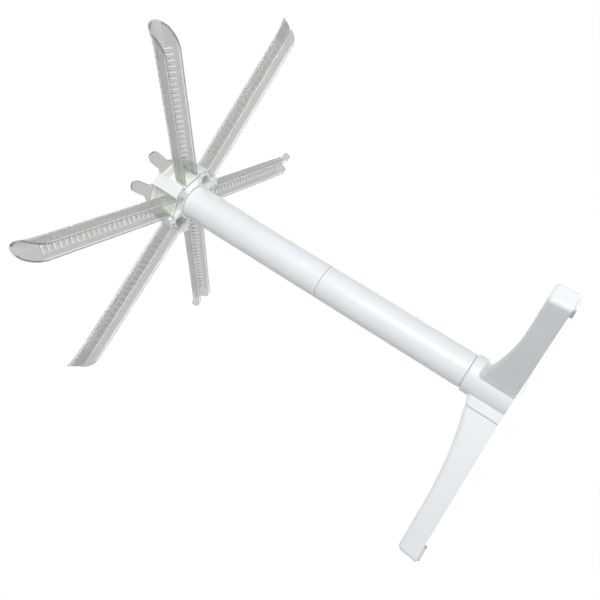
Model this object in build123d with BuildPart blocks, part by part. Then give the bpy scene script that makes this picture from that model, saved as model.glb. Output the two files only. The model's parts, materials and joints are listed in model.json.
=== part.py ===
from build123d import *
from math import asin, atan, cos, degrees, radians, sin, sqrt, tan
import os

os.makedirs("parts", exist_ok=True)

# Driving dimensions of a knock-down pasta drying rack, in millimetres.
# The column stands on the Z axis and the table is at Z = 0.

# Clearances
push_fit = 0.1  # all round a joint that is pushed home by hand
slide_gap = 0.3  # all round a piece that slides out freely
seat_gap = 0.3  # between two pieces that meet end to end
overrun = 5.0  # how far a cutting shape passes what it cuts

# Column, in two halves
tube_diameter = 35.0
tube_wall = 2.0
tube_edge = 0.5
lower_tube_length = 159.0
upper_tube_length = 161.1
spigot_length = 24.0
spigot_wall = 2.0
spigot_lead = 1.0

# Base hub
base_boss_flare = 1.5  # how far the boss stands out beyond the column
base_boss_height = 46.0
base_wall = 2.5
stub_reach = 26.5

# Legs
leg_count = 3
first_leg_angle = 60
leg_width = 19.0
leg_wall = 2.2
leg_reach = 167.0
leg_root_height = 34.0
leg_flat_reach = 125.0
leg_flat_height = 20.3
leg_tip_height = 19.6
leg_end_lean = 2.0
leg_end_length = 20.0
leg_edge_radius = 4.0
leg_nose_radius = 5.0
leg_joint_edge = 0.8
leg_rib_count = 3
leg_rib_thickness = 1.6
tongue_length = 22.0

# Foot pads
pad_length = 14.0
pad_width = 11.5
pad_drop = 2.5
pad_inset = 1.5
pad_corner = 2.5
pad_edge = 0.7
pad_setback = 1.6

# Arm hub
arm_count = 6
hub_height = 30.0
hub_boss_flare = 2.5
deck_thickness = 2.0
web_thickness = 3.0
web_root_width = 12.0
post_width = 13.0
post_front = 4.2  # from the outer face of a root plate to the outer face of a post
post_back = 1.2
post_edge = 0.6

# Root plate of an arm, and its finger tab
plate_reach = 32.0
plate_thickness = 2.4
plate_width = 26.4
plate_drop = 0.5
plate_corner = 1.5
hook_reach = 3.0
hook_thickness = 2.0
shoulder_height = 7.0
tab_width = 13.0
tab_length = 15.3
tab_corner = 5.2
tab_lean = 18  # outwards from the vertical

# Arm
arm_width = 19.0
arm_height = 17.7
arm_wall = 1.8
arm_rim_rise = 0.1
arm_rise_share = 0.014  # climb of an arm per length
heel_reach = 187.0
heel_length = 19.5
heel_height = 13.2
lip_length = 24.3
lip_lift = 2.8
rib_pitch = 6.4
rib_width = 2.2
rib_foot_drop = 9.5  # below the crown
rib_head_drop = 3.1
rib_gap = 4.4
first_rib_reach = 50.4
last_rib_setback = 2.0

# Derived sizes and heights
tube_radius = tube_diameter / 2
bore_radius = tube_radius - tube_wall
spigot_radius = bore_radius - push_fit
spigot_bore = spigot_radius - spigot_wall
underside = pad_drop
boss_top = underside + base_boss_height
lower_tube_bottom = boss_top + seat_gap
seam_height = lower_tube_bottom + lower_tube_length
upper_tube_bottom = seam_height + seat_gap
upper_tube_top = upper_tube_bottom + upper_tube_length
hub_bottom = upper_tube_top + seat_gap
hub_top = hub_bottom + hub_height
leg_root = stub_reach + seat_gap
leg_drop = leg_root_height - leg_flat_height
leg_curve_radius = ((leg_flat_reach - leg_root) ** 2 + leg_drop**2) / (2 * leg_drop)
tongue_inset = leg_wall + slide_gap
tongue_end = stub_reach + tongue_length
post_turn = 180 / arm_count  # from an arm to the post beside it


def annular_profile(points):
    """Face in the XZ plane through radius and height points, to be turned about the Z axis."""
    with BuildSketch(Plane.XZ) as profile:
        with BuildLine():
            Polyline(*points, close=True)
        make_face()
    return profile.sketch


def leg_height(reach, inset):
    """Height of a leg's top line above its underside, lowered by inset."""
    if reach < leg_flat_reach:
        rise = sqrt((leg_curve_radius + inset) ** 2 - (leg_flat_reach - reach) ** 2)
        return leg_flat_height + leg_curve_radius - rise
    fall_share = (leg_flat_height - leg_tip_height) / (leg_reach - leg_flat_reach)
    return leg_flat_height - inset - (reach - leg_flat_reach) * fall_share


def leg_side(start, end, floor, inset, lean=0, nose=0):
    """Side face of a leg between two reaches, from the height floor up to its lowered top line."""
    bend = min(max(start, leg_flat_reach), end)
    first, middle, knee, last = [
        (reach, underside + leg_height(reach, inset))
        for reach in (start, (start + bend) / 2, bend, end - lean)
    ]
    with BuildSketch(Plane.XZ) as side:
        with BuildLine():
            if start < leg_flat_reach:
                ThreePointArc(first, middle, knee)
            if end > leg_flat_reach:
                Line(knee, last)
            Polyline(last if end > leg_flat_reach else knee, (end, floor), (start, floor), first)
        make_face()
        if nose:
            fillet(side.vertices().group_by(Axis.X)[-2], nose)
    return side.sketch


# Foot pad, a soft block let into the underside of a leg's tip
pad_place = leg_reach - pad_setback - pad_length / 2
with BuildPart() as foot_pad_form:
    with BuildSketch(Plane.XY):
        with Locations((pad_place, 0)):
            RectangleRounded(pad_length, pad_width, pad_corner)
    extrude(amount=pad_drop + pad_inset)
    chamfer(foot_pad_form.faces().sort_by(Axis.Z)[0].edges(), pad_edge)

# Leg, a channel open below, with a closed socket at its root that slides over the hub's tongue
pocket_start = tongue_end + seat_gap + leg_wall
pocket_end = leg_reach - leg_end_length
pocket_pitch = (pocket_end - pocket_start + leg_rib_thickness) / (leg_rib_count + 1)
with BuildPart() as leg_form:
    outer_side = leg_side(leg_root, leg_reach, underside, 0, leg_end_lean, leg_nose_radius)
    extrude(outer_side, amount=leg_width / 2, both=True)
    long_edges = (
        leg_form.faces()
        .filter_by(Axis.Y)
        .edges()
        .filter_by_position(Axis.X, leg_root + slide_gap, leg_reach + overrun)
        .filter_by_position(Axis.Z, underside + slide_gap, underside + leg_root_height)
    )
    fillet(long_edges, leg_edge_radius)
    chamfer(leg_form.faces().sort_by(Axis.X)[0].edges(), leg_joint_edge)
    extrude(
        leg_side(leg_root - overrun, tongue_end + seat_gap, underside + leg_wall, leg_wall),
        amount=leg_width / 2 - leg_wall,
        both=True,
        mode=Mode.SUBTRACT,
    )
    for pocket in range(leg_rib_count + 1):
        near = pocket_start + pocket * pocket_pitch
        far = near + pocket_pitch - leg_rib_thickness
        extrude(
            leg_side(near, far, underside - overrun, leg_wall),
            amount=leg_width / 2 - leg_wall,
            both=True,
            mode=Mode.SUBTRACT,
        )
    with BuildSketch(Plane.XY.offset(underside)):
        with Locations((pad_place, 0)):
            RectangleRounded(pad_length + 2 * push_fit, pad_width + 2 * push_fit, pad_corner)
    extrude(amount=pad_inset, mode=Mode.SUBTRACT)

for number in range(leg_count):
    turn = (0, 0, first_leg_angle + number * 360 / leg_count)
    with BuildPart() as leg:
        add(leg_form.part, rotation=turn)
    leg.part.label = f"leg_{number + 1}"
    export_step(leg.part, f"parts/leg_{number + 1}.step")
    with BuildPart() as foot_pad:
        add(foot_pad_form.part, rotation=turn)
    foot_pad.part.label = f"foot_pad_{number + 1}"
    export_step(foot_pad.part, f"parts/foot_pad_{number + 1}.step")

# Base hub: one stub with its tongue, and the hollow under both
with BuildPart() as leg_mount:
    extrude(leg_side(0, stub_reach, underside, 0), amount=leg_width / 2, both=True)
    stub_edges = (
        leg_mount.faces()
        .filter_by(Axis.Y)
        .edges()
        .filter_by_position(Axis.Z, underside + leg_root_height, underside + 2 * leg_root_height)
    )
    fillet(stub_edges, leg_edge_radius)
    chamfer(leg_mount.faces().sort_by(Axis.X)[-1].edges(), leg_joint_edge)
    extrude(
        leg_side(0, tongue_end, underside + tongue_inset, tongue_inset),
        amount=leg_width / 2 - tongue_inset,
        both=True,
    )
with BuildPart() as leg_mount_core:
    extrude(
        leg_side(0, tongue_end - base_wall, underside - overrun, tongue_inset + base_wall),
        amount=leg_width / 2 - tongue_inset - base_wall,
        both=True,
    )

base_boss_radius = tube_radius + base_boss_flare
spigot_top = boss_top + spigot_length
with BuildPart() as base_hub:
    revolve(
        annular_profile(
            [
                (0, underside),
                (base_boss_radius, underside),
                (base_boss_radius, boss_top),
                (spigot_radius, boss_top),
                (spigot_radius, spigot_top),
                (0, spigot_top),
            ]
        ),
        axis=Axis.Z,
    )
    shoulder = base_hub.edges().filter_by(GeomType.CIRCLE).filter_by_position(Axis.Z, boss_top, boss_top)
    fillet(shoulder.sort_by(SortBy.RADIUS)[-1], base_boss_flare)
    chamfer(base_hub.faces().sort_by(Axis.Z)[-1].edges(), spigot_lead)
    with PolarLocations(0, leg_count, first_leg_angle):
        add(leg_mount.part)
    revolve(
        annular_profile(
            [
                (0, underside - overrun),
                (base_boss_radius - base_wall, underside - overrun),
                (base_boss_radius - base_wall, boss_top - base_wall),
                (spigot_bore, boss_top - base_wall),
                (spigot_bore, spigot_top - spigot_wall),
                (0, spigot_top - spigot_wall),
            ]
        ),
        axis=Axis.Z,
        mode=Mode.SUBTRACT,
    )
    with PolarLocations(0, leg_count, first_leg_angle):
        add(leg_mount_core.part, mode=Mode.SUBTRACT)
base_hub.part.label = "base_hub"
export_step(base_hub.part, "parts/base_hub.step")

# Lower tube, with a necked spigot at its top that the upper tube pushes over
neck_top = seam_height + spigot_length
neck_root = seam_height - spigot_wall
with BuildPart() as lower_tube:
    revolve(
        annular_profile(
            [
                (bore_radius, lower_tube_bottom),
                (tube_radius, lower_tube_bottom),
                (tube_radius, seam_height),
                (spigot_radius, seam_height),
                (spigot_radius, neck_top),
                (spigot_bore, neck_top),
                (spigot_bore, neck_root),
                (bore_radius, neck_root - 2 * spigot_wall),
            ]
        ),
        axis=Axis.Z,
    )
    tube_rims = lower_tube.edges().filter_by(GeomType.CIRCLE).group_by(SortBy.RADIUS)[-1]
    chamfer(tube_rims, tube_edge)
    neck_rim = lower_tube.faces().sort_by(Axis.Z)[-1].edges().sort_by(SortBy.RADIUS)[-1]
    chamfer(neck_rim, spigot_lead)
lower_tube.part.label = "lower_tube"
export_step(lower_tube.part, "parts/lower_tube.step")

# Upper tube
with BuildPart() as upper_tube:
    with BuildSketch(Plane.XY.offset(upper_tube_bottom)):
        Circle(tube_radius)
        Circle(bore_radius, mode=Mode.SUBTRACT)
    extrude(amount=upper_tube_length)
    chamfer(upper_tube.edges().filter_by(GeomType.CIRCLE).group_by(SortBy.RADIUS)[-1], tube_edge)
upper_tube.part.label = "upper_tube"
export_step(upper_tube.part, "parts/upper_tube.step")

# Arm hub: a boss with six webs, each carrying a grooved post between two arm plates
slot_depth = plate_thickness + 2 * slide_gap
slot_width = plate_width + 2 * slide_gap
slot_place = plate_reach - plate_thickness / 2
post_reach = plate_reach + post_front
post_depth = post_front + plate_thickness + post_back
post_place = post_reach - post_depth / 2
with BuildSketch() as web:
    with BuildLine():
        Polyline(
            (0, -web_root_width / 2),
            (post_place, -web_thickness / 2),
            (post_place, web_thickness / 2),
            (0, web_root_width / 2),
            close=True,
        )
    make_face()
with BuildPart() as arm_hub:
    with BuildSketch(Plane.XY.offset(hub_bottom)):
        with PolarLocations(0, arm_count, post_turn):
            add(web.sketch)
        with PolarLocations(post_place, arm_count, post_turn):
            Rectangle(post_depth, post_width)
        post_corners = [corner for corner in vertices() if corner.center().length > post_reach]
        fillet(post_corners, post_edge)
        Circle(tube_radius + hub_boss_flare)
        with PolarLocations(slot_place, arm_count):
            Rectangle(slot_depth, slot_width, mode=Mode.SUBTRACT)
    extrude(amount=hub_height)
    with BuildSketch(Plane.XY.offset(hub_top - deck_thickness)):
        deck_reach = plate_reach - plate_thickness - slide_gap
        RegularPolygon(deck_reach, arm_count, major_radius=False, rotation=post_turn)
    extrude(amount=deck_thickness)
    with BuildSketch(Plane.XY.offset(hub_bottom - spigot_length)):
        Circle(spigot_radius)
    extrude(amount=spigot_length)
    chamfer(arm_hub.faces().sort_by(Axis.Z)[0].edges(), spigot_lead)
    with BuildSketch(Plane.XY.offset(hub_bottom - spigot_length)):
        Circle(spigot_bore)
    extrude(amount=spigot_length + hub_height - deck_thickness, mode=Mode.SUBTRACT)
arm_hub.part.label = "arm_hub"
export_step(arm_hub.part, "parts/arm_hub.step")

# Arm: an inverted trough with ribs inside, an upturned lip, and a root plate with a finger tab.
# It lies along +X and climbs a little outwards.
arm_slope = degrees(atan(arm_rise_share))
arm_root = Plane(
    origin=(plate_reach - plate_thickness / 2, 0, hub_bottom + arm_rim_rise),
    x_dir=(0, 1, 0),
    z_dir=(cos(radians(arm_slope)), 0, sin(radians(arm_slope))),
)
half_width = arm_width / 2
arm_run = heel_reach - arm_root.origin.X
lip_radius = (lip_length**2 + lip_lift**2) / (2 * lip_lift)


def arch(inset):
    """Round-headed outline of the trough, inset from its outside."""
    half = half_width - inset
    spring = arm_height - half_width
    with BuildSketch() as outline:
        with BuildLine():
            Line((-half, 0), (-half, spring))
            ThreePointArc((-half, spring), (0, spring + half), (half, spring))
            Line((half, spring), (half, 0))
            Line((half, 0), (-half, 0))
        make_face()
    return outline.sketch


with BuildSketch() as trough:
    add(arch(0))
    add(arch(arm_wall), mode=Mode.SUBTRACT)

# A pair of ribs stiffens the haunches under the crown and leaves the middle open
rib_foot = arm_height - rib_foot_drop
rib_head = arm_height - rib_head_drop
with BuildSketch() as rib_pair:
    add(arch(arm_wall / 2))
    with BuildLine():
        Polyline(
            (-half_width, 0),
            (half_width, 0),
            (half_width, rib_foot),
            (rib_gap / 2, rib_head),
            (rib_gap / 2, arm_height),
            (-rib_gap / 2, arm_height),
            (-rib_gap / 2, rib_head),
            (-half_width, rib_foot),
            close=True,
        )
    make_face(mode=Mode.SUBTRACT)
last_rib_reach = heel_reach - last_rib_setback
rib_count = int((last_rib_reach - first_rib_reach) / rib_pitch) + 1
rib_places = [
    arm_root.offset(arm_run - last_rib_setback - number * rib_pitch) for number in range(rib_count)
]

plate_back = plate_reach - plate_thickness
plate_bottom = hub_bottom - plate_drop
hook_bottom = hub_top + seat_gap
shoulder_top = hub_top + shoulder_height
tab_top = shoulder_top + tab_length
tab_swing = tab_length * tan(radians(tab_lean))
with BuildPart() as root_plate:
    with BuildSketch(Plane.YZ):
        with Locations((0, plate_bottom)):
            Rectangle(plate_width, hub_top - plate_bottom, align=(Align.CENTER, Align.MIN))
        fillet(vertices().group_by(Axis.Y)[0], plate_corner)
        with BuildLine():
            Polyline(
                (-plate_width / 2, hub_top),
                (-tab_width / 2, shoulder_top),
                (-tab_width / 2, tab_top),
                (tab_width / 2, tab_top),
                (tab_width / 2, shoulder_top),
                (plate_width / 2, hub_top),
                close=True,
            )
        make_face()
        fillet(vertices().group_by(Axis.Y)[-1], tab_corner)
    extrude(amount=2 * plate_reach)
    with BuildSketch(Plane.XZ):
        with BuildLine():
            Polyline(
                (plate_back, plate_bottom),
                (plate_back, hook_bottom),
                (plate_back - hook_reach, hook_bottom),
                (plate_back - hook_reach, hook_bottom + hook_thickness),
                (plate_back, hook_bottom + hook_thickness),
                (plate_back, shoulder_top),
                (plate_back + tab_swing, tab_top),
                (plate_reach + tab_swing, tab_top),
                (plate_reach, shoulder_top),
                (plate_reach, plate_bottom),
                close=True,
            )
        make_face()
    extrude(amount=plate_width, both=True, mode=Mode.INTERSECT)

with BuildPart() as arm_form:
    with BuildSketch(arm_root):
        add(trough.sketch)
    extrude(amount=arm_run)
    heel_plane = arm_root.offset(arm_run)
    with BuildSketch(heel_plane):
        add(trough.sketch)
    flare_axis = Axis(heel_plane.from_local_coords((0, arm_height + lip_radius, 0)), (0, -1, 0))
    revolve(axis=flare_axis, revolution_arc=degrees(asin((lip_length + overrun) / lip_radius)))
    side_plane = Plane(heel_plane.origin, x_dir=heel_plane.z_dir, z_dir=(0, -1, 0))
    with BuildSketch(side_plane):
        with BuildLine():
            heel = TangentArc((0, 0), (heel_length, heel_height), tangent=(1, 0))
            lip_end = (lip_length, arm_height + lip_lift)
            beak_share = (lip_end[1] - heel_height) / (lip_end[0] - heel_length)
            past_lip = (lip_end[0] + overrun, lip_end[1] + overrun * beak_share)
            Polyline(
                heel @ 1,
                past_lip,
                (2 * lip_length, past_lip[1]),
                (2 * lip_length, -arm_height),
                (0, -arm_height),
                heel @ 0,
            )
        make_face()
    extrude(amount=arm_width, both=True, mode=Mode.SUBTRACT)
    with BuildSketch(*rib_places):
        add(rib_pair.sketch)
    extrude(amount=rib_width / 2, both=True)
    add(root_plate.part)

for number in range(arm_count):
    with BuildPart() as arm:
        add(arm_form.part, rotation=(0, 0, number * 360 / arm_count))
    arm.part.label = f"arm_{number + 1}"
    export_step(arm.part, f"parts/arm_{number + 1}.step")
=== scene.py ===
import json
from math import cos, radians, sin

import bpy
from mathutils import Matrix, Vector


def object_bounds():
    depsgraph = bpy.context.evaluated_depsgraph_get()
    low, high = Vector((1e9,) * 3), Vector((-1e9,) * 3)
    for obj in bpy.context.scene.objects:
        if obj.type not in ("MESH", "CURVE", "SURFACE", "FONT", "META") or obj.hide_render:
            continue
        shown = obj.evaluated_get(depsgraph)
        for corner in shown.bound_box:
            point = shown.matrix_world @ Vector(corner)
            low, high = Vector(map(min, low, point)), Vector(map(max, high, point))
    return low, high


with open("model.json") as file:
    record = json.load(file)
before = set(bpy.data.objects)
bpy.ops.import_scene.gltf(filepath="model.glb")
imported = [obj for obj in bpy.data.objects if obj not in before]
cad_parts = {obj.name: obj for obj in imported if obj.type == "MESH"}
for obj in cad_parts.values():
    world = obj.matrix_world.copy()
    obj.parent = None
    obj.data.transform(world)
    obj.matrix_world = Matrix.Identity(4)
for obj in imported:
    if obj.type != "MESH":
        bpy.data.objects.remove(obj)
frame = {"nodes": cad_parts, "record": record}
cad_low, cad_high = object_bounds()
nodes = frame["nodes"]

# The camera stands just above the table and is rolled, as in the photograph.
# Lengths are in metres and angles in degrees throughout, unless a name says otherwise.
CAMERA_PLACE = (0.00573, -0.69438, 0.01686)
CAMERA_HEADING = -1.177
CAMERA_PITCH = 15.462
CAMERA_ROLL = 58.70
LENS_MM = 44.938
SENSOR_MM = 36.0
SHIFT_X = -0.05716
SHIFT_Y = -0.06040

# Lamps: place, size in metres and power in watts. The key stands low, to the right of the camera.
KEY_PLACE = (0.38, -1.20, 0.10)
KEY_SIZE = 0.6
KEY_POWER = 14.0
TOP_PLACE = (-0.35, -0.2, 1.6)
TOP_SIZE = 1.2
TOP_POWER = 3.0
BACK_PLACE = (0.15, 1.3, 0.6)
BACK_SIZE = 1.0
BACK_POWER = 9.5

# The surroundings are white where they are seen, and light the object less than that.
WORLD_COLOUR = (1, 1, 1, 1)
WORLD_SEEN = 1.0
WORLD_LIGHT = 0.31

# The floor glows where it is seen, which keeps it white round the object's shadow.
FLOOR_HALF = 3.0
FLOOR_COLOUR = (0.9, 0.9, 0.9, 1)
FLOOR_ROUGHNESS = 0.9
FLOOR_SPECULAR = 0.1
FLOOR_GLOW = 0.70

# Noise has NOISE_DETAIL octaves, each weaker by NOISE_FALL, and most of its values lie in NOISE_SPREAD.
# UNIT is the range of a plain factor.
NOISE_DETAIL = 4.0
NOISE_FALL = 0.55
NOISE_SPREAD = (0.3, 0.7)
UNIT = (0, 1)

# Each material has a gloss and a grain, and the white and the rubber have a shade of a second colour.
# All are noise, its scale in features per metre. A gloss runs between two roughnesses.
WHITE = (0.835, 0.87, 0.885, 1)
WHITE_SHADE = (0.81, 0.845, 0.865, 1)
WHITE_SHADE_SCALE = 18
WHITE_GLOSS_SCALE = 260
WHITE_ROUGHNESS = (0.33, 0.45)
WHITE_GRAIN_SCALE = 1400
WHITE_GRAIN_DEPTH = 0.00002
WHITE_GRAIN_STRENGTH = 0.35
WHITE_IOR = 1.5
EDGE_RADIUS = 0.0006
EDGE_SAMPLES = 6

RUBBER = (0.90, 0.91, 0.91, 1)
RUBBER_SHADE = (0.81, 0.819, 0.819, 1)
RUBBER_SHADE_SCALE = 150
RUBBER_GLOSS_SCALE = 700
RUBBER_ROUGHNESS = (0.55, 0.75)
RUBBER_GRAIN_SCALE = 2500
RUBBER_GRAIN_DEPTH = 0.00003
RUBBER_GRAIN_STRENGTH = 0.6

CLEARNESS = 0.85
CLEAR_GLOSS_SCALE = 300
CLEAR_ROUGHNESS = (0.04, 0.14)
CLEAR_GRAIN_SCALE = 420
CLEAR_GRAIN_DEPTH = 0.00006
CLEAR_GRAIN_STRENGTH = 0.5
CLEAR_IOR = 1.49

# The arms' plastic is water-clear at the arm hub, and smoky beyond it and above it.
# ROOT_REACH is a distance from the column's axis, and ROOT_TOP a height above the table.
CLEAR_ROOT = (0.95, 0.95, 0.90, 1)
CLEAR_CROWN = (0.69, 0.70, 0.68, 1)
CLEAR_WALL = (0.57, 0.58, 0.57, 1)
CLEAR_TAB = (0.54, 0.55, 0.53, 1)
# Painted highlight on each rung, and painted shade in the cells between the rungs.
PAINTED_RUNG_HIGHLIGHT = (0.93, 0.93, 0.91, 1)
PAINTED_CELL_SHADE = (0.55, 0.56, 0.54, 1)
# Painted highlight along the arms' rims.
PAINTED_RIM_HIGHLIGHT = (1.0, 1.0, 0.98, 1)
ROOT_REACH = (0.030, 0.038)
ROOT_TOP = (0.397, 0.403)

# An arm's rim is RIM_HEIGHT up at ROOT_PLACE from the axis, and rises by RISE_SHARE of the way out.
# Its inner form is an arch, with a rung every RUNG_PITCH along the haunches, back from LAST_RUNG.
ARM_TURNS = (0, 60, 120)
RIM_HEIGHT = 0.3696
ROOT_PLACE = 0.0308
RISE_SHARE = 0.014
ARCH_SPRING = 0.0082
RUNG_PITCH = 0.0064
LAST_RUNG = 0.1848

# Soft edges of the tints, from where each starts to where it is whole. RUNG_START and RUNG_END are
# distances out from the axis, RUNG_HALF is from a rung's middle, ARCH_MIDDLE is from the line of the
# arch's centres, and the others are heights above the rim.
RUNG_START = (0.048, 0.050)
RUNG_END = (0.1860, 0.1868)
RUNG_HALF = (0.0005, 0.0011)
ARCH_MIDDLE = (0.0082, 0.0088)
RUNG_FOOT = (0.0072, 0.0088)
RUNG_HEAD = (0.0140, 0.0152)
RIM_HIGHLIGHT_EDGE = (0.0011, 0.0016)
WALL_TOP = (0.0065, 0.0095)


def new_material(name):
    """Empty node material, with its node tree, its shader and its output."""
    material = bpy.data.materials.new(name)
    material.use_nodes = True
    tree = material.node_tree
    tree.nodes.clear()
    output = tree.nodes.new("ShaderNodeOutputMaterial")
    shader = tree.nodes.new("ShaderNodeBsdfPrincipled")
    tree.links.new(shader.outputs["BSDF"], output.inputs["Surface"])
    return material, tree, shader, output


def spread(tree, value, source, target=UNIT, smooth=False):
    """Value that runs from the ends of source to the ends of target, and no further."""
    node = tree.nodes.new("ShaderNodeMapRange")
    if smooth:
        node.interpolation_type = "SMOOTHSTEP"
    node.inputs["From Min"].default_value = source[0]
    node.inputs["From Max"].default_value = source[1]
    node.inputs["To Min"].default_value = target[0]
    node.inputs["To Max"].default_value = target[1]
    tree.links.new(value, node.inputs["Value"])
    return node.outputs["Result"]


def calc(tree, operation, *values):
    """Math node on other nodes' outputs and plain numbers."""
    node = tree.nodes.new("ShaderNodeMath")
    node.operation = operation
    for socket, value in zip(node.inputs, values):
        if isinstance(value, (int, float)):
            socket.default_value = value
        else:
            tree.links.new(value, socket)
    return node.outputs["Value"]


def squared(tree, value):
    """Square of another node's output."""
    return calc(tree, "POWER", value, 2)


def rise(tree, value, ends):
    """0 below the first end, 1 above the second, smooth between."""
    return spread(tree, value, ends, smooth=True)


def fall(tree, value, ends):
    """1 below the first end, 0 above the second, smooth between."""
    return calc(tree, "SUBTRACT", 1, rise(tree, value, ends))


def noise(tree, scale):
    """Noise in object coordinates, its scale in features per metre."""
    coordinates = tree.nodes.new("ShaderNodeTexCoord")
    texture = tree.nodes.new("ShaderNodeTexNoise")
    texture.inputs["Scale"].default_value = scale
    texture.inputs["Detail"].default_value = NOISE_DETAIL
    texture.inputs["Roughness"].default_value = NOISE_FALL
    tree.links.new(coordinates.outputs["Object"], texture.inputs["Vector"])
    return texture.outputs["Fac"]


def blend_colours(tree, factor, first, second):
    """Colour from first to second, each a plain colour or another node's output."""
    node = tree.nodes.new("ShaderNodeMix")
    node.data_type = "RGBA"
    sockets = {socket.identifier: socket for socket in node.inputs}
    for socket, colour in ((sockets["A_Color"], first), (sockets["B_Color"], second)):
        if isinstance(colour, tuple):
            socket.default_value = colour
        else:
            tree.links.new(colour, socket)
    tree.links.new(factor, sockets["Factor_Float"])
    return next(socket for socket in node.outputs if socket.identifier == "Result_Color")


def add_shade(tree, shader, first, second, scale):
    """Base colour that drifts between two near shades."""
    drift = spread(tree, noise(tree, scale), NOISE_SPREAD)
    tree.links.new(blend_colours(tree, drift, first, second), shader.inputs["Base Color"])


def add_gloss(tree, shader, scale, roughness):
    """Gloss that varies between two roughnesses."""
    tree.links.new(spread(tree, noise(tree, scale), NOISE_SPREAD, roughness), shader.inputs["Roughness"])


def add_grain(tree, shader, scale, depth, strength):
    """Give the surface a fine grain, and return the bump node that makes it."""
    grain = tree.nodes.new("ShaderNodeBump")
    grain.inputs["Distance"].default_value = depth
    grain.inputs["Strength"].default_value = strength
    tree.links.new(noise(tree, scale), grain.inputs["Height"])
    tree.links.new(grain.outputs["Normal"], shader.inputs["Normal"])
    return grain


def round_edges(tree, grain):
    """Make edges under a grain look rounded."""
    rounded = tree.nodes.new("ShaderNodeBevel")
    rounded.samples = EDGE_SAMPLES
    rounded.inputs["Radius"].default_value = EDGE_RADIUS
    tree.links.new(rounded.outputs["Normal"], grain.inputs["Normal"])


def white_plastic():
    """Moulded white plastic: a satin gloss with a faint grain and slightly uneven shade."""
    material, tree, shader, _ = new_material("white_plastic_look")
    add_shade(tree, shader, WHITE, WHITE_SHADE, WHITE_SHADE_SCALE)
    add_gloss(tree, shader, WHITE_GLOSS_SCALE, WHITE_ROUGHNESS)
    grain = add_grain(tree, shader, WHITE_GRAIN_SCALE, WHITE_GRAIN_DEPTH, WHITE_GRAIN_STRENGTH)
    round_edges(tree, grain)
    shader.inputs["IOR"].default_value = WHITE_IOR
    return material


def pad_rubber():
    """Pale soft rubber with a fine grain."""
    material, tree, shader, _ = new_material("pad_rubber_look")
    add_shade(tree, shader, RUBBER, RUBBER_SHADE, RUBBER_SHADE_SCALE)
    add_gloss(tree, shader, RUBBER_GLOSS_SCALE, RUBBER_ROUGHNESS)
    add_grain(tree, shader, RUBBER_GRAIN_SCALE, RUBBER_GRAIN_DEPTH, RUBBER_GRAIN_STRENGTH)
    return material


def along_arm(tree, place):
    """Distance out along the nearest of the six arms, which lie in three lines across the axis."""
    reach = 0.0
    for turn in ARM_TURNS:
        along = tree.nodes.new("ShaderNodeVectorMath")
        along.operation = "DOT_PRODUCT"
        along.inputs[1].default_value = (cos(radians(turn)), sin(radians(turn)), 0)
        tree.links.new(place, along.inputs[0])
        reach = calc(tree, "MAXIMUM", reach, calc(tree, "ABSOLUTE", along.outputs["Value"]))
    return reach


def above_rim(tree, up, out):
    """Height above the arm's rim, which rises as the arm goes out."""
    climb = calc(tree, "MULTIPLY", calc(tree, "SUBTRACT", out, ROOT_PLACE), RISE_SHARE)
    return calc(tree, "SUBTRACT", calc(tree, "SUBTRACT", up, RIM_HEIGHT), climb)


def painted_ladder_zone(tree, from_axis_squared, out, height):
    """1 on the inner haunches of the arch, where the rungs are and their painted highlights and cell
    shade go, and 0 elsewhere.
    """
    aside = calc(tree, "MAXIMUM", calc(tree, "SUBTRACT", from_axis_squared, squared(tree, out)), 0)
    over_spring = calc(tree, "MAXIMUM", calc(tree, "SUBTRACT", height, ARCH_SPRING), 0)
    radius = calc(tree, "SQRT", calc(tree, "ADD", aside, squared(tree, over_spring)))
    haunch = calc(tree, "SUBTRACT", rise(tree, height, RUNG_FOOT), rise(tree, height, RUNG_HEAD))
    run = calc(tree, "SUBTRACT", rise(tree, out, RUNG_START), rise(tree, out, RUNG_END))
    return calc(tree, "MULTIPLY", calc(tree, "MULTIPLY", fall(tree, radius, ARCH_MIDDLE), haunch), run)


def between_rungs(tree, out):
    """0 on a rung, where its painted highlight goes, and 1 in the cell beside it, where painted shade
    goes.
    """
    half_pitch = RUNG_PITCH / 2
    from_rung = calc(tree, "WRAP", calc(tree, "SUBTRACT", LAST_RUNG, out), half_pitch, -half_pitch)
    return rise(tree, calc(tree, "ABSOLUTE", from_rung), RUNG_HALF)


def clear_tint(tree):
    """Tint of the arms: clear roots, smoky crowns, darker walls, lips and tabs, painted highlights on
    rims and rungs, painted shade between rungs.
    """
    place = tree.nodes.new("ShaderNodeTexCoord").outputs["Object"]
    split = tree.nodes.new("ShaderNodeSeparateXYZ")
    tree.links.new(place, split.inputs["Vector"])
    x, y, up = (split.outputs[axis] for axis in "XYZ")
    out = along_arm(tree, place)
    height = above_rim(tree, up, out)
    from_axis_squared = calc(tree, "ADD", squared(tree, x), squared(tree, y))
    from_axis = calc(tree, "SQRT", from_axis_squared)

    crown = calc(tree, "MULTIPLY", rise(tree, height, WALL_TOP), fall(tree, out, RUNG_END))
    smoky = blend_colours(tree, crown, CLEAR_WALL, CLEAR_CROWN)
    tint = blend_colours(tree, rise(tree, from_axis, ROOT_REACH), CLEAR_ROOT, smoky)
    # Painted highlights on the rungs and painted shade in the cells between them, over the haunches.
    painted_ladder = blend_colours(tree, between_rungs(tree, out), PAINTED_RUNG_HIGHLIGHT, PAINTED_CELL_SHADE)
    tint = blend_colours(tree, painted_ladder_zone(tree, from_axis_squared, out, height), tint, painted_ladder)
    # Painted highlight along the rim's edge.
    tint = blend_colours(tree, rise(tree, height, RIM_HIGHLIGHT_EDGE), PAINTED_RIM_HIGHLIGHT, tint)
    return blend_colours(tree, rise(tree, up, ROOT_TOP), tint, CLEAR_TAB)


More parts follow.
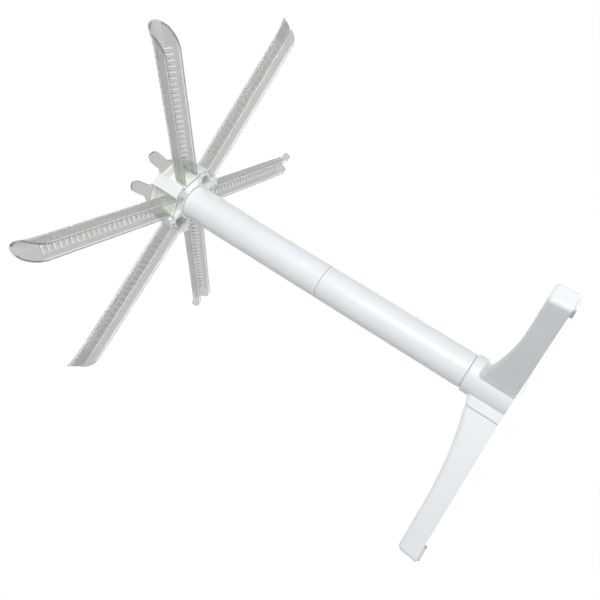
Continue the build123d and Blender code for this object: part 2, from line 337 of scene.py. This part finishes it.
def clear_plastic():
    """Clear moulded plastic, smoky along the arms and with painted highlights and shade on its rims and
    ribs, that casts a shadow of its own tint.
    """
    material, tree, shader, output = new_material("clear_plastic_look")
    tint = clear_tint(tree)
    tree.links.new(tint, shader.inputs["Base Color"])
    shader.inputs["Transmission Weight"].default_value = CLEARNESS
    shader.inputs["IOR"].default_value = CLEAR_IOR
    add_gloss(tree, shader, CLEAR_GLOSS_SCALE, CLEAR_ROUGHNESS)
    add_grain(tree, shader, CLEAR_GRAIN_SCALE, CLEAR_GRAIN_DEPTH, CLEAR_GRAIN_STRENGTH)
    film = tree.nodes.new("ShaderNodeBsdfTransparent")
    tree.links.new(tint, film.inputs["Color"])
    path = tree.nodes.new("ShaderNodeLightPath")
    either = tree.nodes.new("ShaderNodeMixShader")
    tree.links.new(path.outputs["Is Shadow Ray"], either.inputs["Fac"])
    tree.links.new(shader.outputs["BSDF"], either.inputs[1])
    tree.links.new(film.outputs["BSDF"], either.inputs[2])
    tree.links.new(either.outputs["Shader"], output.inputs["Surface"])
    return material


def seen_ray(tree):
    """1 for camera, glossy and transmission rays, and 0 for the rays that light the object."""
    path = tree.nodes.new("ShaderNodeLightPath")
    seen = path.outputs["Is Camera Ray"]
    for name in ("Is Glossy Ray", "Is Transmission Ray"):
        seen = calc(tree, "MAXIMUM", seen, path.outputs[name])
    return seen


def add_world():
    """White surroundings where they are seen, and a plain even light elsewhere."""
    world = bpy.data.worlds.new("studio")
    world.use_nodes = True
    tree = world.node_tree
    background = tree.nodes["Background"]
    background.inputs["Color"].default_value = WORLD_COLOUR
    strength = spread(tree, seen_ray(tree), UNIT, (WORLD_LIGHT, WORLD_SEEN))
    tree.links.new(strength, background.inputs["Strength"])
    bpy.context.scene.world = world


def floor_look():
    """Matt pale floor with a glow where it is seen."""
    material, tree, shader, output = new_material("floor_look")
    shader.inputs["Base Color"].default_value = FLOOR_COLOUR
    shader.inputs["Roughness"].default_value = FLOOR_ROUGHNESS
    shader.inputs["Specular IOR Level"].default_value = FLOOR_SPECULAR
    glow = tree.nodes.new("ShaderNodeEmission")
    tree.links.new(spread(tree, seen_ray(tree), UNIT, (0, FLOOR_GLOW)), glow.inputs["Strength"])
    both = tree.nodes.new("ShaderNodeAddShader")
    tree.links.new(shader.outputs["BSDF"], both.inputs[0])
    tree.links.new(glow.outputs["Emission"], both.inputs[1])
    tree.links.new(both.outputs["Shader"], output.inputs["Surface"])
    return material


def add_floor():
    """Pale square floor that keeps the object's shadow."""
    mesh = bpy.data.meshes.new("floor")
    signs = ((-1, -1), (1, -1), (1, 1), (-1, 1))
    mesh.from_pydata([(x * FLOOR_HALF, y * FLOOR_HALF, 0) for x, y in signs], [], [(0, 1, 2, 3)])
    mesh.materials.append(floor_look())
    floor = bpy.data.objects.new("floor", mesh)
    bpy.context.scene.collection.objects.link(floor)


def add_lamp(name, place, size, power, through=True):
    """Square soft lamp that faces the middle of the object, seen through the clear plastic or not."""
    light = bpy.data.lights.new(name, "AREA")
    light.size = size
    light.energy = power
    lamp = bpy.data.objects.new(name, light)
    bpy.context.scene.collection.objects.link(lamp)
    lamp.location = place
    lamp.visible_transmission = through
    way = Vector(place) - (cad_low + cad_high) / 2
    lamp.rotation_euler = way.to_track_quat("Z", "Y").to_euler()


def add_camera():
    """Camera at the photograph's place, turned, tilted up and rolled."""
    data = bpy.data.cameras.new("camera")
    data.sensor_width = SENSOR_MM
    data.lens = LENS_MM
    data.shift_x = SHIFT_X
    data.shift_y = SHIFT_Y
    camera = bpy.data.objects.new("camera", data)
    bpy.context.scene.collection.objects.link(camera)
    turn = Matrix.Rotation(radians(CAMERA_HEADING), 4, "Z")
    tilt = Matrix.Rotation(radians(90 + CAMERA_PITCH), 4, "X")
    roll = Matrix.Rotation(radians(-CAMERA_ROLL), 4, "Z")
    camera.matrix_world = Matrix.Translation(CAMERA_PLACE) @ turn @ tilt @ roll
    bpy.context.scene.camera = camera


looks = {
    "white_plastic": white_plastic(),
    "clear_plastic": clear_plastic(),
    "pad_rubber": pad_rubber(),
}
for subpart in frame["record"]["subparts"]:
    nodes[subpart["node"]].material_slots[0].material = looks[subpart["material_slot"]]

add_world()
add_floor()
add_lamp("key", KEY_PLACE, KEY_SIZE, KEY_POWER)
add_lamp("top", TOP_PLACE, TOP_SIZE, TOP_POWER)
add_lamp("back", BACK_PLACE, BACK_SIZE, BACK_POWER, through=False)
add_camera()
bpy.context.scene.view_settings.view_transform = "Standard"
